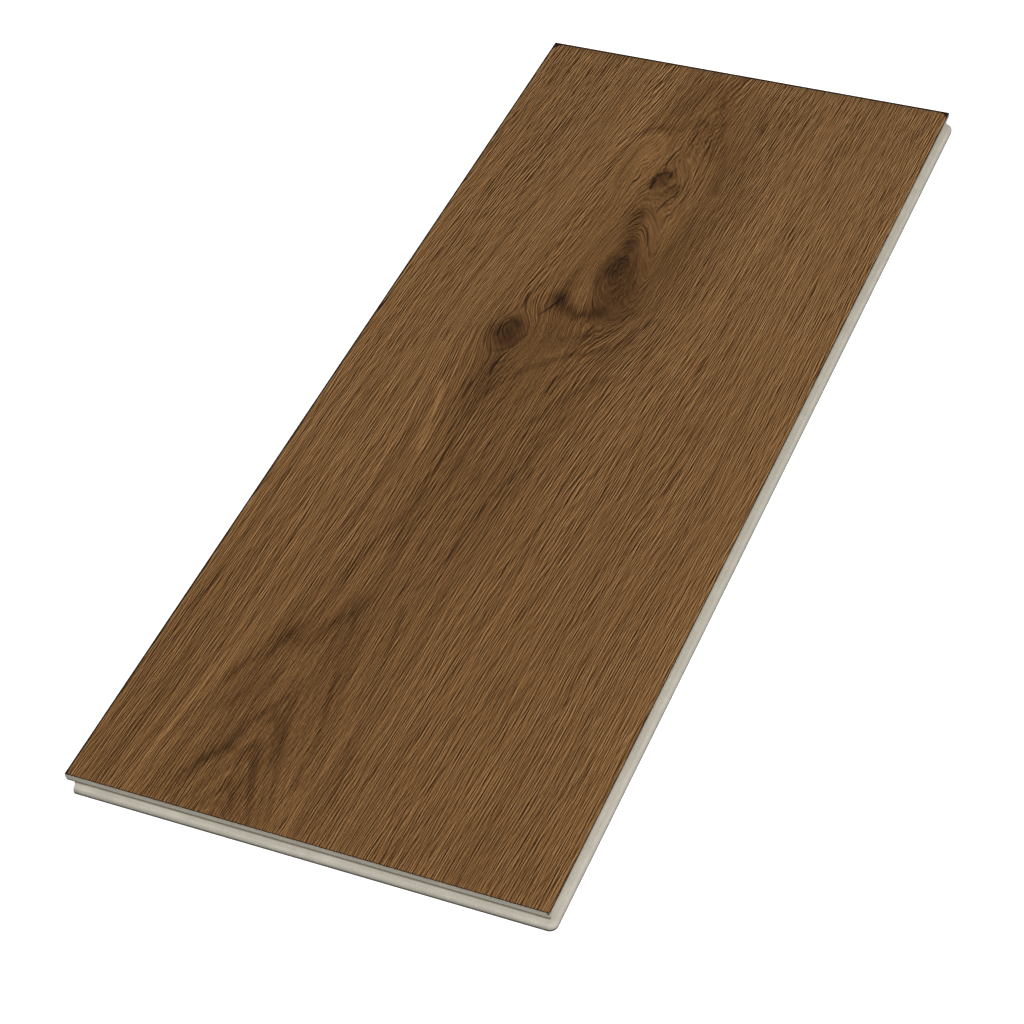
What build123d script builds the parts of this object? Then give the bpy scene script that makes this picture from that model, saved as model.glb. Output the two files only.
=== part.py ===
from build123d import *
import os

# Click-together vinyl floor plank, lying face up, in millimetres.
# The origin is on the underside, below the middle of the face.
# X runs across the width, Y along the length and Z up.
# The tongues are on the +X and -Y sides, the grooves on the -X and +Y sides.
# A joint plane is where the upright edges of two laid planks meet.

# Board
face_width = 180.0  # between the joint planes of the long sides
face_length = 446.0  # between the joint planes of the short sides
board_thickness = 8.0
wear_layer_thickness = 0.5  # printed film under its clear coat, pressed onto the core
edge_land = 0.25  # upright edge of the wear layer left below its painted bevel

# Tongue
joint_face_height = 2.8  # from the face down to the root of the tongue
tongue_reach = 3.0  # past the joint plane
tongue_fall = 0.2  # how far the top of the tongue slopes down towards its nose
shoulder_radius = 1.5  # top corner of the nose
nose_radius = 1.7  # bottom corner of the nose
relief_depth = 0.3  # chip groove behind the root of the tongue
relief_height = 0.45
tongue_inset = 2.0  # from the back of the long groove to the start of the short tongue

# Groove, lower lip and locking rib
lip_thickness = 1.0
lip_reach = 3.2  # past the joint plane
lip_corner_radius = 1.0  # outer corner of the lower lip, seen from above
rib_offset = 1.7  # from the joint plane to the foot of the locking face
rib_height = 0.9
rib_slant = 0.3  # how far the locking face leans out over its height
rib_radius = 0.3
groove_radius = 0.4  # inner corners of the groove
upper_lip_radius = 1.1  # lower corner of the lip above the groove

# Clearances between two locked planks
bearing_clearance = 0.1  # above and below the tongue
tip_clearance = 0.3  # in front of the nose
lock_clearance = 0.1  # round the locking rib

# Heights above the underside
core_top = board_thickness - wear_layer_thickness
tongue_top = board_thickness - joint_face_height
tongue_bottom = lip_thickness + bearing_clearance
groove_top = tongue_top + bearing_clearance
rib_top = lip_thickness + rib_height
pocket_top = rib_top + lock_clearance

# Distances from a joint plane
groove_depth = tongue_reach + tip_clearance
heel_depth = rib_offset - lock_clearance
underside_setback = lip_reach + lock_clearance
tongue_start = groove_depth + tongue_inset

# Joint planes, and where the straight runs of the two tongues stop short of their turned ends
right = face_width / 2
left = -face_width / 2
near = -face_length / 2
far = face_length / 2
short_tongue_left = left + tongue_start + tongue_reach
long_tongue_far = far - groove_depth - tongue_reach

# The nose is upright between its two rounded corners, which share its height.
nose_height = tongue_top - tongue_fall - tongue_bottom
shoulder_rounding = min(shoulder_radius, 0.5 * nose_height)
nose_rounding = min(nose_radius, 0.45 * nose_height)


def rounded_outline(corners):
    """Face inside straight runs between corners, each given as x, y and its radius."""
    points = [(x, y) for x, y, radius in corners]
    radii = [radius for x, y, radius in corners]
    return make_face(FilletPolyline(*points, radius=radii, close=True))


def edge_section(face):
    """Section of the core with its tongue at +x, its groove at -x and its underside on y = 0."""
    tongue_plane = face / 2
    groove_plane = -face / 2
    return rounded_outline(
        [
            (groove_plane, core_top, 0),
            (tongue_plane, core_top, 0),
            (tongue_plane, tongue_top + relief_height, 0),
            (tongue_plane - relief_depth, tongue_top + relief_height, 0),
            (tongue_plane - relief_depth, tongue_top, 0),
            (tongue_plane + tongue_reach, tongue_top - tongue_fall, shoulder_rounding),
            (tongue_plane + tongue_reach, tongue_bottom, nose_rounding),
            (tongue_plane - heel_depth, tongue_bottom, rib_radius),
            (tongue_plane - heel_depth - rib_slant, pocket_top, 0),
            (tongue_plane - underside_setback, pocket_top, 0),
            (tongue_plane - underside_setback, 0, 0),
            (groove_plane - lip_reach, 0, 0),
            (groove_plane - lip_reach, rib_top, rib_radius),
            (groove_plane - rib_offset - rib_slant, rib_top, rib_radius),
            (groove_plane - rib_offset, lip_thickness, 0),
            (groove_plane + groove_depth, lip_thickness, groove_radius),
            (groove_plane + groove_depth, groove_top, groove_radius),
            (groove_plane, groove_top, upper_lip_radius),
        ]
    )


def plan_outline():
    """Outline of the core from above: where each straight tongue and lower lip starts and ends."""
    return rounded_outline(
        [
            (left - lip_reach, near + underside_setback, lip_corner_radius),
            (left, near + underside_setback, 0),
            (left, near, 0),
            (short_tongue_left, near, 0),
            (short_tongue_left, near - tongue_reach, 0),
            (right, near - tongue_reach, 0),
            (right, near, 0),
            (right + tongue_reach, near, 0),
            (right + tongue_reach, long_tongue_far, 0),
            (right, long_tongue_far, 0),
            (right, far, 0),
            (right - underside_setback, far, 0),
            (right - underside_setback, far + lip_reach, lip_corner_radius),
            (left - lip_reach, far + lip_reach, lip_corner_radius),
        ]
    )


def make_core():
    """Core as its edge cutters leave it: two edge sections and the plan outline, in common."""
    overall_reach = tongue_reach + lip_reach
    across = Plane.XZ
    along = Plane(origin=(0, 0, 0), x_dir=(0, -1, 0), z_dir=(-1, 0, 0))
    long_sides = extrude(across * edge_section(face_width), face_length / 2 + overall_reach, both=True)
    short_sides = extrude(along * edge_section(face_length), face_width / 2 + overall_reach, both=True)
    core = long_sides & short_sides & extrude(plan_outline(), core_top)

    # The tongue's section, turned a quarter about the joint plane, rounds the corner where the two
    # tongues meet and closes both their free ends.
    nose_window = Rectangle(tongue_reach, core_top, align=Align.MIN)
    nose_section = Pos(-face_width / 2, 0) * edge_section(face_width) & nose_window
    downwards = Axis((0, 0, 0), (0, 0, -1))
    quarter = revolve(across * nose_section, downwards, revolution_arc=90)
    core += Pos(right, near, 0) * quarter
    core += Pos(short_tongue_left, near, 0) * Rot(0, 0, -90) * quarter
    core += Pos(right, long_tongue_far, 0) * Rot(0, 0, 90) * quarter
    return core


def make_wear_layer():
    """Printed sheet on top of the core, bevelled all round its upper edge."""
    sheet = Pos(0, 0, core_top) * Box(
        face_width, face_length, wear_layer_thickness, align=(Align.CENTER, Align.CENTER, Align.MIN)
    )
    face_edges = sheet.faces().sort_by(Axis.Z)[-1].edges()
    return chamfer(face_edges, wear_layer_thickness - edge_land)


os.makedirs("parts", exist_ok=True)
export_step(make_core(), "parts/core.step")
export_step(make_wear_layer(), "parts/wear_layer.step")
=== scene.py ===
import math

import bpy
import numpy as np
from mathutils import Euler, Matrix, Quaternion, Vector


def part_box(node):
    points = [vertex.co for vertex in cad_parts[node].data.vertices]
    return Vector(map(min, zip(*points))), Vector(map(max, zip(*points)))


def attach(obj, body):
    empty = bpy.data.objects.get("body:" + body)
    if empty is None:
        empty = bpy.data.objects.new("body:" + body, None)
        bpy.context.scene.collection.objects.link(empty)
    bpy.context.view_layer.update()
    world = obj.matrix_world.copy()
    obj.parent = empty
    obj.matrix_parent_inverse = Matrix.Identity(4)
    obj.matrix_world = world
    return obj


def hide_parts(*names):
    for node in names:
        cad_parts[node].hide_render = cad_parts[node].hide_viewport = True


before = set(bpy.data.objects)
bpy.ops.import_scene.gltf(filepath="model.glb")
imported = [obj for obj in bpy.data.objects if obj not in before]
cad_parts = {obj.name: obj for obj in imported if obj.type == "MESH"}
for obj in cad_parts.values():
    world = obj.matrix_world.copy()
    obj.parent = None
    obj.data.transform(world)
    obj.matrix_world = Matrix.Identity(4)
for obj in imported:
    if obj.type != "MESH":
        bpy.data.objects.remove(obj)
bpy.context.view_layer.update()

# Core: the pale board under the print, one slab of mineral-filled vinyl with its tongues and
# grooves milled along the edges. The cut stock is dry and matte, finely mottled by its filler,
# with faint cutter lines along each edge.
MM = 0.001


def display(red, green, blue):
    """Linear colour of a display colour given in steps from 0 to 255."""
    values = np.array([red, green, blue]) / 255
    linear = np.where(values <= 0.04045, values / 12.92, ((values + 0.055) / 1.055) ** 2.4)
    return (*linear.tolist(), 1.0)


core_pale = display(186, 180, 167)
core_grey = display(170, 165, 152)
core_dust = display(196, 191, 180)
groove_shade = display(114, 108, 96)
nose_shade = display(74, 69, 58)
bevel_paint = display(40, 24, 12)

# Joint planes of the two tongues, then heights between which a colour sets in: painted shade at the
# lower and upper edge of the chip groove and at the turn of the nose, and a dark band below the bevel.
sheet_low, sheet_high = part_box("wear_layer")
near_joint = sheet_low.y
right_joint = sheet_high.x
groove_foot = (5.142 * MM, 5.175 * MM)
groove_head = (5.66 * MM, 5.64 * MM)
nose_turn = (3.5 * MM, 2.8 * MM)
dark_band_foot = (6.95 * MM, 7.05 * MM)


def add_node(tree, kind, inputs=(), **settings):
    """Add a node, set its options, then link or set each named or numbered input."""
    node = tree.nodes.new(kind)
    for name, value in settings.items():
        setattr(node, name, value)
    for key, value in dict(inputs).items():
        if isinstance(value, bpy.types.NodeSocket):
            tree.links.new(value, node.inputs[key])
        else:
            node.inputs[key].default_value = value
    return node


def new_material(name, **fixed):
    """Material with an empty tree but for its shader, whose constant sockets are set here."""
    material = bpy.data.materials.new(name)
    material.use_nodes = True
    tree = material.node_tree
    tree.nodes.clear()
    inputs = {key.replace("_", " "): value for key, value in fixed.items()}
    shader = add_node(tree, "ShaderNodeBsdfPrincipled", inputs)
    output = add_node(tree, "ShaderNodeOutputMaterial")
    tree.links.new(shader.outputs["BSDF"], output.inputs["Surface"])
    return material, tree, shader


def noise(tree, vector, periods, shift=0.0, detail=0.0, roughness=0.5):
    """Noise value whose cells have the given length on each axis; an axis of nought is left out.
    The cells are turned askew, so that they don't line up in rows, and the shift is across them."""
    scale = [1 / period if period else 0.0 for period in periods]
    askew = Euler((0.4, 0.3, 0.6))
    start = askew.to_matrix() @ Vector((shift, 0, 0))
    stretched = add_node(
        tree,
        "ShaderNodeMapping",
        {"Vector": vector, "Scale": scale, "Rotation": askew, "Location": start},
    )
    texture = add_node(
        tree,
        "ShaderNodeTexNoise",
        {"Vector": stretched.outputs[0], "Scale": 1.0, "Detail": detail, "Roughness": roughness},
    )
    return texture.outputs["Fac"]


def mask(tree, value, low, high):
    """Nought below low and one above high, or the other way round where low is the larger."""
    node = add_node(
        tree,
        "ShaderNodeMapRange",
        {"Value": value, "From Min": low, "From Max": high},
        interpolation_type="SMOOTHSTEP",
    )
    return node.outputs["Result"]


def reckon(tree, operation, *values):
    """One arithmetic step on two or three values."""
    return add_node(tree, "ShaderNodeMath", enumerate(values), operation=operation).outputs[0]


def blend(tree, factor, first, second):
    """Colour mixed from first to second by the factor."""
    node = add_node(tree, "ShaderNodeMix", {0: factor, 6: first, 7: second}, data_type="RGBA")
    return node.outputs[2]


def near_edge(tree, lengthwise):
    """One on the edge along the near joint plane, and nought from 1 mm behind it."""
    return mask(tree, lengthwise, near_joint + 1 * MM, near_joint + 0.5 * MM)


def milled_core_material():
    """Pale beige with soft cloudy mottling, filler specks and cutter lines that follow the height,
    then painted shade in the chip groove and under the nose, and a bevel-coloured band on the right edge."""
    material, tree, shader = new_material("milled_core", Roughness=0.75, Specular_IOR_Level=0.2)
    place = add_node(tree, "ShaderNodeTexCoord").outputs["Object"]
    clouds = noise(tree, place, (7 * MM, 7 * MM, 4 * MM), detail=3.0)
    specks = noise(tree, place, (0.35 * MM, 0.35 * MM, 0.35 * MM), detail=1.0)
    cutter_lines = noise(tree, place, (40 * MM, 40 * MM, 0.4 * MM), detail=2.0, roughness=0.6)
    body = blend(tree, mask(tree, clouds, 0.30, 0.70), core_grey, core_pale)
    lined = blend(tree, mask(tree, cutter_lines, 0.66, 0.36), body, core_grey)
    dusted = blend(tree, mask(tree, specks, 0.50, 0.85), lined, core_dust)
    sideways, lengthwise, upwards = add_node(tree, "ShaderNodeSeparateXYZ", {0: place}).outputs
    # Painted shade: the chip groove along the near edge is darkened in colour, as shade in the recess.
    in_groove = reckon(
        tree, "MULTIPLY", mask(tree, upwards, *groove_foot), mask(tree, upwards, *groove_head)
    )
    in_groove = reckon(tree, "MULTIPLY", in_groove, near_edge(tree, lengthwise))
    groove_shaded_colour = blend(tree, in_groove, dusted, groove_shade)
    # Painted shade: the lower rounding of each tongue's nose is darkened in colour, where it turns from
    # the light.
    past_joint = reckon(
        tree,
        "MAXIMUM",
        mask(tree, lengthwise, near_joint - 1 * MM, near_joint - 2 * MM),
        mask(tree, sideways, right_joint + 1 * MM, right_joint + 2 * MM),
    )
    under_nose = reckon(tree, "MULTIPLY", mask(tree, upwards, *nose_turn), past_joint)
    shaded = blend(tree, under_nose, groove_shaded_colour, nose_shade)
    # Darker band in the bevel's colour at the top of the core's right side, just below the bevel.
    on_right_side = mask(tree, sideways, right_joint - 1 * MM, right_joint - 0.5 * MM)
    right_dark_band = reckon(tree, "MULTIPLY", mask(tree, upwards, *dark_band_foot), on_right_side)
    finished = blend(tree, right_dark_band, shaded, bevel_paint)
    tree.links.new(finished, shader.inputs["Base Color"])
    height = reckon(tree, "ADD", specks, cutter_lines)
    bump = add_node(tree, "ShaderNodeBump", {"Height": height, "Strength": 0.2, "Distance": 0.04 * MM})
    tree.links.new(bump.outputs[0], shader.inputs["Normal"])
    return material


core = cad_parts["core"]
core.data.materials[0] = milled_core_material()

# Near left end of the short tongue: part of the same milled board. The cutter stops the tongue
# short of the long groove and leaves its end nearly square, only eased in plan.

# In mm across the plank: where the piece begins inside the tongue, comes out of it, begins to turn
# and stops.
tongue_begin = -81.2
tongue_out = -81.7
tongue_turn = -85.6
tongue_stop = -85.9
inner_share = 0.97

# Section in mm out from the joint plane and up from the underside: the top of the root, the middle
# and radius of the shoulder and of the nose, and the foot of the root.
root_top = [(-0.1, 5.18), (0.0, 5.19)]
shoulder = ((1.49, 3.59), 1.5)
shoulder_start = math.radians(86.5)
nose = ((1.29, 2.8), 1.7)
root_foot = (-0.1, 1.12)
last_turn = math.radians(87)


def tongue_end_piece():
    """Section of the tongue carried along its last stretch. The reach of the section falls as a
    quarter of an ellipse towards the end, and the start is a little smaller, inside the tongue."""
    upper = np.linspace(shoulder_start, 0, 12)
    lower = np.linspace(0, -math.pi / 2, 12)
    upper_arc = shoulder[0] + shoulder[1] * np.stack([np.cos(upper), np.sin(upper)], axis=-1)
    lower_arc = nose[0] + nose[1] * np.stack([np.cos(lower), np.sin(lower)], axis=-1)
    outwards, heights = np.concatenate([root_top, upper_arc, lower_arc, [root_foot]]).T
    turn = np.linspace(0, last_turn, 12)
    turned = tongue_turn + (tongue_stop - tongue_turn) * np.sin(turn)
    stations = np.concatenate([[tongue_begin, tongue_out], turned])
    share = np.concatenate([[inner_share, 1.0], np.cos(turn)])
    middle = heights.mean()
    tall = np.concatenate([[inner_share], np.ones(len(stations) - 1)])
    x = np.repeat(stations[:, None], len(outwards), axis=1)
    reach = np.where(outwards > 0, outwards * share[:, None], outwards)
    z = middle + (heights - middle) * tall[:, None]
    points = np.stack([x * MM, near_joint - reach * MM, z * MM], axis=-1)
    rows, columns = x.shape
    index = np.arange(rows * columns).reshape(rows, columns)
    beside = np.roll(index, -1, axis=1)
    sides = np.stack([index[:-1], index[1:], beside[1:], beside[:-1]], axis=-1)
    caps = [index[0].tolist(), index[-1, ::-1].tolist()]
    mesh = bpy.data.meshes.new("tongue_end")
    mesh.from_pydata(points.reshape(-1, 3).tolist(), [], sides.reshape(-1, 4).tolist() + caps)
    smooth = np.ones(len(mesh.polygons), bool)
    smooth[-2:] = False
    mesh.polygons.foreach_set("use_smooth", smooth)
    mesh.update()
    return mesh


tongue_mesh = tongue_end_piece()
tongue_mesh.materials.append(core.data.materials[0])
tongue_end = bpy.data.objects.new("tongue_end", tongue_mesh)
bpy.context.scene.collection.objects.link(tongue_end)
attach(tongue_end, "root")

# Face: the printed oak film under its clear coat, one thin sheet pressed onto the core. The coat
# is embossed in step with the print, so pores, cracks and knots lie a little below the surface,
# and a bevel painted dark brown runs round the upper edge.
sheet_width = (sheet_high.x - sheet_low.x) / MM
sheet_length = (sheet_high.y - sheet_low.y) / MM
sheet_thickness = (sheet_high.z - sheet_low.z) / MM
bevel = 0.25

# The mesh is finer where the knots and arches are: a strip along the plank, a stretch of it.
fine_strip = (42.0, 100.0)
knot_stretch = (222.0, 412.0)
fine_column = 0.3
coarse_column = 0.8
fine_row = 0.95
coarse_row = 3.6

noise_table = np.random.default_rng(7).random((256, 256))


def lattice_noise(u, v, seed):
    """Soft random values from -1 to 1: a table of random numbers, eased between its cells."""
    column = np.floor(u).astype(int)
    row = np.floor(v).astype(int)
    part_u = u - column
    part_v = v - row
    ease_u = part_u * part_u * (3 - 2 * part_u)
    ease_v = part_v * part_v * (3 - 2 * part_v)

    def corner(step_u, step_v):
        return noise_table[(row + step_v + 17 * seed) % 256, (column + step_u + 31 * seed) % 256]

    near_side = corner(0, 0) * (1 - ease_u) + corner(1, 0) * ease_u
    far_side = corner(0, 1) * (1 - ease_u) + corner(1, 1) * ease_u
    return 2 * (near_side * (1 - ease_v) + far_side * ease_v) - 1


def ruffle(x, y, shape, seed):
    """Soft random values of the given reach, whose cells have the given breadth and length."""
    reach, breadth, length = shape
    return reach * lattice_noise(x / breadth, y / length, seed)


def rise(value, low, high):
    """Smooth rise from nought at low to one at high."""
    share = np.clip((value - low) / (high - low), 0, 1)
    return share * share * (3 - 2 * share)


def oval(x, y, middle, half, lean=0.0, taper=0.0):
    """Distance from an oval's middle, one on its rim; it leans as it runs along, and a taper
    narrows it towards the far end."""
    along = (y - middle[1]) / half[1]
    half_width = half[0] * np.clip(1 - taper * along, 0.2, 2.0)
    across = (x - middle[0] - lean * (y - middle[1])) / half_width
    return np.hypot(across, along)


# Places on the face are in mm from its near left corner, and tones in display steps off the mean.
mean_tone = 86.2

# Knots: middle, half width and half length, lean, taper, how fully the fibres part round the knot,
# and how steeply its own rings climb from the rim to the pith.
knots = [
    ((85.5, 310.0), (10.5, 30.0), -0.08, 0.30, 0.90, 0.85),
    ((56.0, 260.0), (8.0, 12.0), 0.0, 0.0, 0.90, 0.32),
    ((82.0, 364.5), (9.5, 15.0), 0.0, 0.0, 0.35, -0.30),
    ((66.5, 374.0), (7.0, 25.0), 0.0, 0.0, 0.28, 0.40),
]

# Dark hearts and patches: middle, half width and half length, lean, taper, and tone.
hearts = [
    ((85.5, 304.0), (11.5, 29.0), -0.12, 0.3, -30.0),
    ((83.0, 309.5), (7.5, 18.0), 0.04, 0.0, -38.0),
    ((55.5, 260.0), (8.0, 11.0), 0.0, 0.0, -32.0),
    ((67.5, 285.0), (4.5, 13.0), 0.15, 0.3, -14.0),
    ((79.5, 369.0), (5.0, 8.0), 0.0, 0.2, -30.0),
    ((85.5, 362.0), (3.2, 5.5), 0.25, 0.0, -14.0),
]

# Fibres lean off the plank's length, more so over a run beyond the knots, and less so near the right
# edge. They waver slowly, and are ruffled in the bowl below the big knot, each by a reach and by the
# breadth and length of the cells.
fibre_lean = 0.032
far_lean = 0.03
far_start = 310.0
far_run = 80.0
straight_from = 140.0
straight_share = 0.6
slow_waver = (1.0, 14.0, 60.0)
bowl = ((74.0, 268.0), (16.0, 14.0))
bowl_ruffle = (0.5, 2.4, 3.0)

# Sideways steps that the fibres take beside the knots: how far, over which stretch, where, how broad.
steps = [
    (7.0, (240.0, 350.0), 114.0, 24.0),
    (5.0, (244.0, 294.0), 95.0, 10.0),
    (-4.0, (256.0, 288.0), 51.0, 8.0),
]

# Strength of the fine lines along the plank: at the near end, then what is added at the far end, in
# step with the distance and with its square. They show where the fibre field changes fast enough, and
# lose a share along the figured strip, given by its middle and half width, and inside the knots.
near_lines = 0.92
far_lines = (0.2, 0.7)
fast_enough = (0.05, 0.6)
figured_strip = (66.0, 30.0)
strip_loss = 0.15
knot_loss = 0.35

# Places where the fine lines are faint: middle, half width and half length, and how much is lost.
calm_places = [
    ((80.0, 335.0), (26.0, 110.0), 0.48),
    ((93.0, 318.0), (6.0, 34.0), 0.50),
    ((74.0, 264.0), (16.0, 18.0), 0.30),
    ((66.0, 242.0), (20.0, 24.0), 0.40),
    ((88.0, 408.0), (20.0, 36.0), 0.42),
    ((57.0, 45.0), (32.0, 66.0), 0.25),
]

# Arches at the near end: their axis, its lean, how steeply they climb along it, how far they climb,
# how far out the climb reaches, and the middle and half size of the oval in which they show.
arch_axis = 56.5
arch_lean = 0.03
arch_slope = 0.45
arch_rise = 30.0
arch_spread = 34.0
arch_middle = 30.0
arch_half = (46.0, 125.0)

# Contrast of the long soft streaks in tone steps, on the right and on the left, and the strip across
# the face over which it changes.
right_streaks = 19.0
left_streaks = 30.0
streak_change = (40.0, 80.0)

# Drying cracks: near end, far end, half width and sideways bow. The print spreads each a little, and
# leaves its tips a hair wide.
crack_spread = 1.15
crack_tip = 0.02
cracks = [
    ((77.5, 375.6), (79.1, 388.0), 0.34, 0.2),
    ((82.9, 391.0), (83.7, 406.0), 0.28, 0.0),
    ((85.4, 346.0), (89.4, 361.0), 0.32, -0.8),
    ((90.0, 324.0), (85.0, 337.0), 0.26, 0.3),
    ((63.7, 272.0), (69.7, 288.0), 0.40, 0.4),
    ((56.2, 274.0), (54.7, 285.0), 0.34, -0.3),
    ((59.3, 232.0), (59.3, 246.0), 0.36, -0.5),
    ((54.4, 216.0), (53.7, 230.0), 0.28, 0.0),
    ((83.4, 229.0), (84.4, 242.0), 0.28, 0.2),
    ((85.6, 263.0), (87.0, 274.0), 0.24, 0.0),
    ((82.3, 368.5), (82.0, 374.5), 0.45, 0.5),
    ((77.5, 360.5), (77.9, 368.0), 0.40, -0.3),
    ((88.6, 357.5), (89.4, 363.5), 0.36, 0.0),
    ((60.4, 176.0), (60.0, 198.0), 0.26, 0.1),
    ((90.0, 179.0), (90.0, 190.0), 0.22, 0.0),
    ((86.5, 155.0), (86.0, 169.0), 0.22, -0.2),
    ((57.0, 196.0), (57.0, 209.0), 0.22, 0.0),
    ((84.2, 131.0), (84.2, 149.0), 0.20, 0.0),
    ((62.4, 132.0), (62.2, 149.0), 0.22, -0.2),
]

# Broad light and dark places: middle, spread across and along, and tone.
tone_places = [
    ((78.0, 195.0), (24.0, 70.0), -8.0),
    ((58.0, 60.0), (18.0, 65.0), -10.5),
    ((109.0, 345.0), (10.0, 80.0), -11.0),
    ((84.0, 425.0), (18.0, 25.0), -3.0),
    ((98.0, 305.0), (8.0, 45.0), -12.0),
    ((80.0, 264.0), (22.0, 13.0), -9.0),
    ((58.0, 236.0), (5.5, 24.0), -19.0),
    ((60.0, 345.0), (12.0, 50.0), 4.0),
    ((68.0, 384.0), (5.0, 13.0), 15.0),
    ((180.0, 230.0), (7.0, 260.0), 8.0),
    ((93.0, 340.0), (3.0, 16.0), 12.0),
    ((75.0, 291.0), (2.5, 8.0), 8.0),
    ((150.0, 350.0), (40.0, 90.0), 4.0),
    ((10.0, 200.0), (30.0, 150.0), 3.0),
    ((90.0, 0.0), (120.0, 45.0), -3.0),
    ((18.0, 60.0), (26.0, 75.0), -4.0),
]

# How far the noise frays the bands and hearts across and along, and how much it mottles the hearts,
# each with the breadth and length of its cells.
fray_across = (0.35, 2.5, 7.0)
fray_along = (1.0, 3.0, 20.0)
heart_mottle = (0.20, 1.7, 2.6)

# Soft dark and light growth bands, and a painted highlight along the left edge: points along each, half
# width and tone.
bands = [
    ([(52, 116), (53.5, 132), (57, 142), (61, 152), (62, 166)], 1.3, -14.0),
    ([(46, 83), (52, 83), (56, 90), (60, 99), (63, 106)], 4.0, -14.0),
    ([(62, 102), (65, 97), (67.5, 80), (71, 66), (74, 52), (76.5, 38), (79, 20)], 1.3, -15.0),
    ([(79, 108), (82, 92), (84.5, 75), (87.5, 55), (90, 40), (93.5, 16)], 1.0, -14.0),
    ([(34, 60), (38, 68), (42, 76), (46, 87)], 2.6, -10.0),
    ([(38, 45), (42, 51), (46, 57), (49, 66)], 2.8, -10.0),
    ([(43, 22), (48, 30), (51, 42), (55, 50), (59, 46), (63, 41), (65, 30)], 2.6, -13.0),
    ([(37, 10), (42, 20), (47, 27), (53, 30), (57, 33), (61, 24), (66, 10)], 1.5, -11.0),
    ([(50, 2), (56.5, 15), (62, 3)], 1.5, -10.0),
    ([(59, 44), (61, 38), (64, 30)], 0.9, 9.0),
    ([(108, 282), (104, 270), (97, 260), (87, 255), (77, 246), (69, 237), (62, 225)], 1.8, -12.0),
    ([(103, 246), (98, 238), (92, 229), (88, 217)], 1.6, -13.0),
    ([(92, 247), (86, 241), (80, 232), (76, 221)], 1.3, -8.0),
    (
        [(62, 398), (66, 402), (71, 402), (75, 401), (80, 411), (86, 407), (91, 397), (95, 386)],
        2.2,
        -11.0,
    ),
    ([(70, 412), (76, 424), (81, 437), (86, 424), (92, 408), (100, 386), (104, 366)], 2.4, -10.0),
    ([(60, 356), (59, 372), (61, 388), (66, 396), (71, 393), (74, 384)], 0.9, 10.0),
    ([(86, 383), (91, 376), (94, 366), (97, 354)], 1.0, 9.0),
    ([(79, 262), (87, 265.5), (94, 273), (98.5, 284)], 2.4, -8.0),
    ([(76, 251), (88, 257.5), (97, 267), (102, 280)], 1.3, 6.0),
    ([(62.5, 358), (62, 372), (64, 386), (67.5, 391), (70.5, 387)], 0.8, -9.0),
    ([(57, 360), (56.5, 376), (59, 393), (66, 401), (73, 397)], 0.9, -9.0),
    ([(84.5, 322), (82.5, 315), (81, 307), (79.5, 298)], 1.2, -8.0),
    ([(77.5, 316), (76.4, 306), (78, 297)], 0.7, -12.0),
    ([(79.0, 344), (80.0, 335), (82.0, 325)], 4.0, -21.0),
    ([(68, 285), (72, 280.5), (77, 277.5), (82, 277.5), (86, 280)], 3.5, -29.0),
    ([(77.3, 361.5), (76.6, 367), (78.5, 371.5), (82, 372.3), (84.6, 369.6)], 0.55, -30.0),
    ([(83.2, 377), (83.8, 373.5), (85.2, 371)], 0.45, -24.0),
    ([(82.5, 365.5), (84.6, 363.4), (87, 366), (89, 364.4)], 0.6, -20.0),
    ([(55, 267), (58.5, 264)], 1.1, -12.0),
    ([(52.5, 263), (52, 257)], 1.1, -10.0),
    ([(48.6, 262), (49.3, 253), (54, 247.5), (60, 250), (62.6, 258)], 1.0, -13.0),
    ([(57, 290), (56, 282), (57, 274)], 1.2, -14.0),
    ([(68.5, 303), (67.5, 294)], 1.6, -10.0),
    ([(51, 190), (48, 155), (42, 118), (36, 92), (30, 70), (26, 40), (23, 4)], 2.2, 5.0),
    ([(29, 62), (25.5, 36), (22, 2)], 1.8, 6.0),
    ([(43, 224), (46.5, 212), (48.4, 200), (49.6, 187)], 1.3, 21.0),
    # Painted highlight: a light line along the left edge, just inside the painted bevel.
    ([(1.5, 2), (1.5, 444)], 0.7, 10.0),
    ([(60, 214), (60, 190), (61, 162)], 1.2, -7.0),
    ([(96, 222), (92, 195), (86, 165), (84, 140)], 1.6, -6.0),
]


def fibre_field(x, y):
    """Place across the fibres, in mm: the place on the face less their lean and a slow waver. Near
    a knot it loses a share that falls with the square of the distance, as water parts, and inside
    it climbs towards the pith, so that the lines close into rings there."""
    drift = fibre_lean * y + far_lean * (y - far_start) * rise(y, far_start, far_start + far_run)
    fibre = x - drift * (1 - straight_share * rise(x, straight_from, sheet_width))
    for reach, (start, end), place, breadth in steps:
        fibre -= reach * rise(y, start, end) * np.exp(-((x - place) / breadth) ** 2)
    for middle, half, lean, taper, share, climb in knots:
        distance = oval(x, y, middle, half, lean, taper)
        side = x - middle[0] - lean * (y - middle[1])
        fibre -= share * side / np.sqrt(1 + distance ** 4)
        inside = 1 - np.hypot(distance, 0.05)
        fibre += 0.5 * climb * half[0] * (inside + np.hypot(inside, 0.15))
    fibre += np.exp(-oval(x, y, *bowl) ** 4) * ruffle(x, y, bowl_ruffle, 9)
    return fibre + ruffle(x, y, slow_waver, 1)


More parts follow.
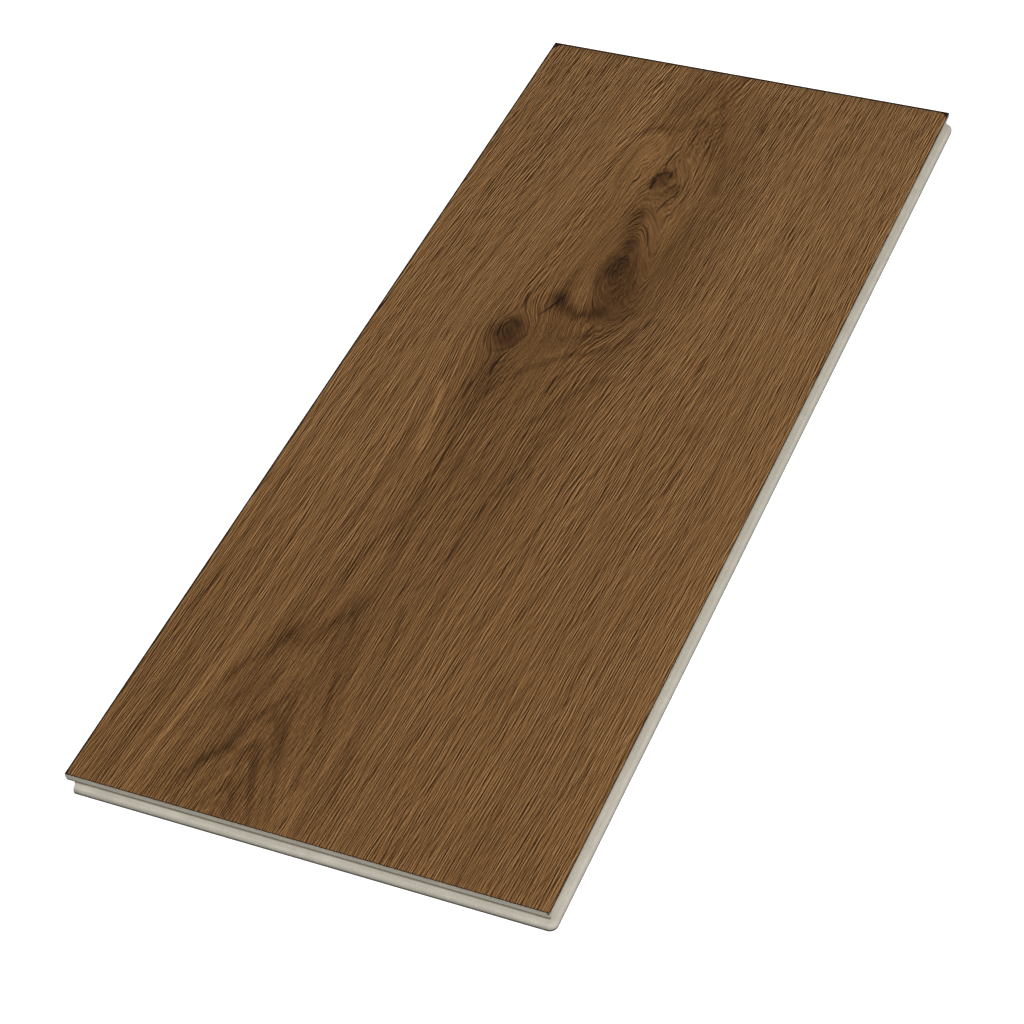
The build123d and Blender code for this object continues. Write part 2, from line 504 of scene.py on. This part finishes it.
def line_fade(x, y):
    """Strength of the fine lines: more towards the far end, less along the figured strip, round the
    knots and inside them, and none where the fibres spread so far apart that a line would grow
    broad, which is measured by how fast the fibre field changes over a small step."""
    step = 0.3
    across = (fibre_field(x + step, y) - fibre_field(x - step, y)) / (2 * step)
    along = (fibre_field(x, y + step) - fibre_field(x, y - step)) / (2 * step)
    towards_far = y / sheet_length
    fade = rise(np.hypot(across, along), *fast_enough)
    fade *= near_lines + far_lines[0] * towards_far + far_lines[1] * towards_far ** 2
    fade *= 1 - strip_loss * np.exp(-((x - figured_strip[0]) / figured_strip[1]) ** 4)
    for middle, half, loss in calm_places:
        fade *= 1 - loss * np.exp(-oval(x, y, middle, half) ** 4)
    for middle, half, lean, taper, share, climb in knots:
        fade *= 1 - knot_loss * (1 - rise(oval(x, y, middle, half, lean, taper), 0.7, 1.3))
    return fade


def ring_field(x, y):
    """Growth rings in mm across: pointed arches at the near end, where the distance from their
    axis adds to a rise along it that dies away to the sides."""
    side = x - arch_axis - arch_lean * y
    climb = arch_rise * (1 - np.exp(-arch_slope * y / arch_rise))
    return np.hypot(side, 3.0) + climb * np.exp(-(side / arch_spread) ** 2)


def ring_weight(x, y):
    """How strongly the rings show: fully among the arches, and no more beyond them."""
    return np.exp(-oval(x, y, (arch_axis, arch_middle), arch_half) ** 4)


def streak_contrast(x):
    """Contrast of the long soft streaks in tone steps: stronger along the left of the plank."""
    return right_streaks + (left_streaks - right_streaks) * (1 - rise(x, *streak_change))


def smooth_path(points):
    """Points along a curve through the given ones, each pair joined by a cubic whose slope at a
    point is that between its two neighbours."""
    knot_points = np.array(points, float)
    padded = np.concatenate([knot_points[:1], knot_points, knot_points[-1:]])
    before, first, second, after = padded[:-3], padded[1:-2], padded[2:-1], padded[3:]
    share = np.linspace(0, 1, 7)[None, :-1, None]
    bend = 2 * before - 5 * first + 4 * second - after
    twist = 3 * first - before - 3 * second + after
    parts = [part[:, None, :] for part in (2 * first, second - before, bend, twist)]
    curve = 0.5 * (parts[0] + parts[1] * share + parts[2] * share ** 2 + parts[3] * share ** 3)
    return np.concatenate([curve.reshape(-1, 2), knot_points[-1:]])


def path_distance(x, y, path):
    """Distance to the nearest stretch of a path, stretch by stretch."""
    nearest = np.full(x.shape, np.inf)
    for start, end in zip(path[:-1], path[1:]):
        run = end - start
        share = np.clip(((x - start[0]) * run[0] + (y - start[1]) * run[1]) / (run @ run), 0, 1)
        gap = np.hypot(x - start[0] - share * run[0], y - start[1] - share * run[1])
        nearest = np.minimum(nearest, gap)
    return nearest


def tone_field(x, y):
    """Display tone of the print before its fine grain: mean, broad places, bands and knots."""
    frayed_x = x + ruffle(x, y, fray_across, 5)
    frayed_y = y + ruffle(x, y, fray_along, 6)
    tone = np.full(x.shape, mean_tone)
    for middle, spread, strength in tone_places:
        tone += strength * np.exp(-oval(x, y, middle, spread) ** 2)
    for points, half_width, strength in bands:
        distance = path_distance(frayed_x, frayed_y, smooth_path(points))
        tone += strength * np.exp(-(distance / half_width) ** 2)
    dark = np.zeros_like(x)
    for middle, half, lean, taper, strength in hearts:
        distance = oval(frayed_x, frayed_y, middle, half, lean, taper)
        dark = np.minimum(dark, strength * (1 - rise(distance, 0.2, 1.3)))
    return tone + dark * (1 + ruffle(x, y, heart_mottle, 8))


def crack_field(x, y):
    """Cracks as thin dark lines, widest in the middle, each bowed off the straight."""
    dark = np.zeros_like(x)
    for near_end, far_end, half_width, bow in cracks:
        share = (y - near_end[1]) / (far_end[1] - near_end[1])
        inside = np.clip(4 * share * (1 - share), 0, None)
        middle = near_end[0] + share * (far_end[0] - near_end[0]) + bow * inside
        width = crack_spread * half_width * np.sqrt(np.minimum(inside, 1)) + crack_tip
        dark = np.maximum(dark, np.exp(-((x - middle) / width) ** 2) * rise(inside, 0.0, 0.25))
    return dark


# Emboss: depth, breadth and length of a pore groove, the depths of knots and cracks, and how many steps
# below the mean a tone is sunk fully.
pore_groove = (0.03, 0.9, 26.0)
knot_depth = 0.05
crack_depth = 0.12
sunk_tone = 40.0

# How far the bevel's paint runs onto the face along the two grooved sides, and how far it stays back
# from the face along the right side.
left_paint = 0.6
far_paint = 1.0
right_gap = 0.10


def border_profile(length, inner):
    """Places and heights along one direction: over the bevel, the face, and the far bevel."""
    eased = bevel * np.array([0.0, 0.34, 1.0])
    heights = sheet_thickness - bevel * np.array([1.0, 0.3, 0.0])
    places = np.concatenate([eased, inner, length - eased[::-1]])
    rises = np.concatenate([heights, np.full(len(inner), sheet_thickness), heights[::-1]])
    return places, rises


def spaced(length, fine_part, coarse_step, fine_step):
    """Places along the face between its bevels, closer together in the fine part."""
    return np.concatenate(
        [
            np.arange(bevel + coarse_step, fine_part[0], coarse_step),
            np.arange(fine_part[0], fine_part[1], fine_step),
            np.arange(fine_part[1], length - bevel - 0.5 * coarse_step, coarse_step),
        ]
    )


def face_sheet():
    """Sheet as one grid whose height at a point is the lower of its row's and its column's, with
    an upright wall below its rim and a flat face closing it underneath."""
    column_places, column_heights = border_profile(
        sheet_width, spaced(sheet_width, fine_strip, coarse_column, fine_column)
    )
    row_places, row_heights = border_profile(
        sheet_length, spaced(sheet_length, knot_stretch, coarse_row, fine_row)
    )
    x, y = np.meshgrid(column_places, row_places)
    z = np.minimum(column_heights[None, :], row_heights[:, None])
    rows, columns = x.shape
    index = np.arange(rows * columns).reshape(rows, columns)
    rim = np.concatenate([index[0, :-1], index[:-1, -1], index[-1, :0:-1], index[:0:-1, 0]])
    wall = rows * columns + np.arange(len(rim))
    x = np.concatenate([x.ravel(), x.ravel()[rim]])
    y = np.concatenate([y.ravel(), y.ravel()[rim]])
    z = np.concatenate([z.ravel(), np.zeros(len(rim))])

    fibre = fibre_field(x, y)
    tone = tone_field(x, y)
    crack = crack_field(x, y)
    inset = np.minimum(np.minimum(x, sheet_width - x), np.minimum(y, sheet_length - y))
    on_face = rise(inset, bevel, 3 * bevel)
    grooves = np.maximum(ruffle(fibre, y, pore_groove, 4), 0)
    sunk = np.clip((mean_tone - tone) / sunk_tone, 0, 1)
    z = z - (grooves + knot_depth * sunk + crack_depth * crack) * on_face
    groove_sides = np.minimum(x - left_paint, sheet_length - y - far_paint)
    tongue_sides = np.minimum(sheet_width - x + right_gap, y)

    points = np.stack([x, y, z], axis=1) * MM + np.array(sheet_low)
    quads = [index[:-1, :-1], index[:-1, 1:], index[1:, 1:], index[1:, :-1]]
    skirt = [wall, np.roll(wall, -1), np.roll(rim, -1), rim]
    faces = np.stack(quads, axis=-1).reshape(-1, 4).tolist() + np.stack(skirt, axis=-1).tolist()
    mesh = bpy.data.meshes.new("printed_oak_sheet")
    mesh.from_pydata(points.tolist(), [], faces + [wall[::-1].tolist()])
    fields = {
        "grain": (fibre, y + 1.5 * x, ring_field(x, y)),
        "figure": (tone, crack, line_fade(x, y)),
    }
    for name, values in fields.items():
        attribute = mesh.attributes.new(name, "FLOAT_VECTOR", "POINT")
        attribute.data.foreach_set("vector", np.stack(values, axis=-1).astype(np.float32).ravel())
    weights = {
        "paint": np.minimum(groove_sides, tongue_sides),
        "ring_weight": ring_weight(x, y),
        "streak_contrast": streak_contrast(x),
    }
    for name, values in weights.items():
        attribute = mesh.attributes.new(name, "FLOAT", "POINT")
        attribute.data.foreach_set("value", values.astype(np.float32))
    mesh.polygons.foreach_set("use_smooth", np.ones(len(mesh.polygons), bool))
    mesh.update()
    return mesh


# Print colours by tone: the brown that each display tone is printed in. Then the colour of cracks, and
# of the film's cut edge, which shows pale below the bevel on the near side.
tone_top = 150.0
oak_browns = [
    (20.0, display(28, 18, 8)),
    (47.0, display(65, 43, 23)),
    (64.0, display(85, 58, 32)),
    (88.0, display(115, 82, 48)),
    (110.0, display(141, 104, 64)),
    (140.0, display(175, 133, 88)),
]
crack_brown = display(24, 15, 8)
film_edge = display(230, 223, 208)
film_edge_heights = (sheet_low.z + 0.22 * MM, sheet_low.z + 0.19 * MM)

# Strengths of the print's layers in tone steps: fine lines from weak to strong patches, pores, arch
# rings, broad streaks, and the speckle everywhere and added where the lines are faint.
line_strength = (84.0, 112.0)
pore_strength = 24.0
ring_strength = 34.0
broad_strength = 10.0
speckle_strength = 10.0
calm_strength = 26.0

# In mm: the sideways waver of the fine lines, how far they crumple where they are faint, and the distances
# from the painted edge between which the paint fades out.
line_waver = 0.3
line_crumple = 1.0
paint_fade = (0.30, 0.15)


def oak_print_material():
    """Brown oak: soft ring bands, streaks and pores drawn along the fibres kept on the mesh, each
    fine line with a light side painted as the embossed coat's highlight, then cracks and the painted edge
    over them."""
    material, tree, shader = new_material("oak_print", Specular_IOR_Level=0.08)

    def read(name, kind):
        return add_node(tree, "ShaderNodeAttribute", attribute_name=name).outputs[kind]

    def split(vector):
        return add_node(tree, "ShaderNodeSeparateXYZ", {0: vector}).outputs

    grain = read("grain", "Vector")
    tone, crack, fade = split(read("figure", "Vector"))
    paint = read("paint", "Fac")
    rings_show = read("ring_weight", "Fac")
    streaks_show = read("streak_contrast", "Fac")

    waver = noise(tree, grain, (3.0, 22.0, 0), detail=1.0)
    sideways = add_node(
        tree, "ShaderNodeMapRange", {"Value": waver, "To Min": -line_waver, "To Max": line_waver}
    )
    crumple = reckon(tree, "SUBTRACT", noise(tree, grain, (2.2, 4.0, 0), 55.0), 0.5)
    crumple_reach = add_node(
        tree,
        "ShaderNodeMapRange",
        {"Value": fade, "From Min": 0.3, "From Max": 0.9, "To Min": line_crumple, "To Max": 0.0},
    )
    crumpled = reckon(
        tree, "MULTIPLY_ADD", crumple, crumple_reach.outputs["Result"], sideways.outputs["Result"]
    )
    shift = add_node(tree, "ShaderNodeCombineXYZ", {0: crumpled})
    fibres = add_node(
        tree, "ShaderNodeVectorMath", {0: grain, 1: shift.outputs[0]}, operation="ADD"
    ).outputs[0]

    def lines_with_painted_emboss_light(width, length, start):
        """Fine grain lines, each with a dark side and a light side painted as the embossed coat's shade
        and
        highlight: noise less the same noise a little across.
        """
        here = noise(tree, fibres, (width, length, 0), start)
        beside = noise(tree, fibres, (width, length, 0), start + 0.8)
        return reckon(tree, "SUBTRACT", here, beside)

    lines = reckon(tree, "ADD", lines_with_painted_emboss_light(0.35, 6.5, 0.0), lines_with_painted_emboss_light(0.42, 18.0, 40.3))
    # The dark sides come out a little stronger than the light ones.
    lines = reckon(tree, "MULTIPLY", lines, reckon(tree, "MULTIPLY_ADD", lines, -0.5, 1.0))
    patches = noise(tree, grain, (14.0, 90.0, 0), detail=1.0)
    streaks = noise(tree, grain, (2.0, 240.0, 0), 23.0)
    broad = noise(tree, grain, (8.0, 220.0, 0), 7.0, detail=1.0)
    rings = noise(tree, grain, (90.0, 300.0, 1.5), detail=1.0)
    pores = noise(tree, fibres, (0.45, 20.0, 0), 90.0)
    speckle = noise(tree, grain, (0.6, 1.0, 0), 70.0)

    weak, strong = line_strength
    strength = add_node(
        tree,
        "ShaderNodeMapRange",
        {"Value": patches, "From Min": 0.25, "From Max": 0.75, "To Min": weak, "To Max": strong},
    ).outputs["Result"]
    strength = reckon(tree, "MULTIPLY", strength, fade)
    level = reckon(tree, "ADD", tone, reckon(tree, "MULTIPLY", lines, strength))
    ring_contrast = reckon(tree, "MULTIPLY", rings_show, ring_strength)
    calm_speckle = mask(tree, fade, 1.4, 0.2)
    calm_speckle = reckon(tree, "MULTIPLY_ADD", calm_speckle, calm_strength, speckle_strength)
    layers = [
        (streaks, streaks_show),
        (broad, broad_strength),
        (speckle, calm_speckle),
        (rings, ring_contrast),
    ]
    for value, weight in layers:
        centred = reckon(tree, "SUBTRACT", value, 0.5)
        level = reckon(tree, "ADD", level, reckon(tree, "MULTIPLY", centred, weight))
    pore_depth = reckon(tree, "MULTIPLY", mask(tree, pores, 0.34, 0.23), fade)
    level = reckon(tree, "SUBTRACT", level, reckon(tree, "MULTIPLY", pore_depth, pore_strength))
    wood_ramp = add_node(tree, "ShaderNodeValToRGB", {"Fac": reckon(tree, "DIVIDE", level, tone_top)})
    elements = wood_ramp.color_ramp.elements
    while len(elements) < len(oak_browns):
        elements.new(0.5)
    for element, (step, brown) in zip(elements, oak_browns):
        element.position = step / tone_top
        element.color = brown
    cracked = blend(tree, crack, wood_ramp.outputs["Color"], crack_brown)
    painted = blend(tree, mask(tree, paint, *paint_fade), cracked, bevel_paint)
    place = add_node(tree, "ShaderNodeTexCoord").outputs["Object"]
    _, lengthwise, upwards = split(place)
    cut_edge = mask(tree, upwards, *film_edge_heights)
    cut_edge = reckon(tree, "MULTIPLY", cut_edge, near_edge(tree, lengthwise))
    edged = blend(tree, cut_edge, painted, film_edge)
    tree.links.new(edged, shader.inputs["Base Color"])

    sheen = add_node(tree, "ShaderNodeMapRange", {"Value": patches, "To Min": 0.50, "To Max": 0.62})
    tree.links.new(sheen.outputs["Result"], shader.inputs["Roughness"])
    emboss = reckon(tree, "SUBTRACT", reckon(tree, "MULTIPLY", lines, fade), pore_depth)
    bump = add_node(tree, "ShaderNodeBump", {"Height": emboss, "Strength": 0.5, "Distance": 0.08 * MM})
    tree.links.new(bump.outputs[0], shader.inputs["Normal"])
    return material


face_mesh = face_sheet()
face_mesh.materials.append(oak_print_material())
face = bpy.data.objects.new("printed_oak_sheet", face_mesh)
bpy.context.scene.collection.objects.link(face)
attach(face, "root")
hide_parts("wear_layer")

# Floor, light and camera: a plain near-white floor under soft overhead studio light, seen from
# the photograph's place through its long lens.
half_floor = 3.0
floor_white = (0.62, 0.62, 0.62, 1)
floor_glow = (1.0, 1.0, 1.0, 1)
sky_strength = 0.24
horizon = (-0.05, 0.25)

floor_mesh = bpy.data.meshes.new("studio_floor")
floor_corners = [(-1, -1, 0), (1, -1, 0), (1, 1, 0), (-1, 1, 0)]
floor_mesh.from_pydata((half_floor * np.array(floor_corners)).tolist(), [], [(0, 1, 2, 3)])
floor_material, floor_tree, floor_shader = new_material(
    "floor_paint", Roughness=0.9, Base_Color=floor_white, Emission_Color=floor_glow, Emission_Strength=1.0
)
floor_mesh.materials.append(floor_material)
floor = bpy.data.objects.new("studio_floor", floor_mesh)
floor.visible_diffuse = False
bpy.context.scene.collection.objects.link(floor)

world = bpy.data.worlds.new("studio")
world.use_nodes = True
sky = world.node_tree.nodes["Background"]
sky.inputs["Strength"].default_value = sky_strength
aim = add_node(world.node_tree, "ShaderNodeTexCoord").outputs["Generated"]
aim_height = add_node(world.node_tree, "ShaderNodeSeparateXYZ", {0: aim}).outputs["Z"]
world.node_tree.links.new(mask(world.node_tree, aim_height, *horizon), sky.inputs["Color"])
bpy.context.scene.world = world
bpy.context.scene.view_settings.view_transform = "Standard"


def add_softbox(name, place, width, power):
    """Round soft light turned towards the middle of the floor."""
    light = bpy.data.lights.new(name, "AREA")
    light.shape = "DISK"
    light.size = width
    light.energy = power
    holder = bpy.data.objects.new(name, light)
    holder.location = place
    holder.rotation_mode = "QUATERNION"
    holder.rotation_quaternion = (-Vector(place)).to_track_quat("-Z", "Y")
    bpy.context.scene.collection.objects.link(holder)


add_softbox("front_softbox", place=(2.3, -1.95, 2.9), width=2.4, power=205.0)

camera_place = Vector((349.0, -718.9, 735.1)) * MM
camera_azimuth = math.radians(27.32)
camera_elevation = math.radians(44.301)
camera_roll = math.radians(-6.38)
level_share = math.cos(camera_elevation)
sight = Vector(
    (
        -math.sin(camera_azimuth) * level_share,
        math.cos(camera_azimuth) * level_share,
        -math.sin(camera_elevation),
    )
)
camera_data = bpy.data.cameras.new("camera")
camera_data.lens = 99.24
camera_data.sensor_width = 36.0
camera = bpy.data.objects.new("camera", camera_data)
camera.location = camera_place
camera.rotation_mode = "QUATERNION"
camera.rotation_quaternion = sight.to_track_quat("-Z", "Y") @ Quaternion((0, 0, 1), camera_roll)
bpy.context.scene.collection.objects.link(camera)
bpy.context.scene.camera = camera
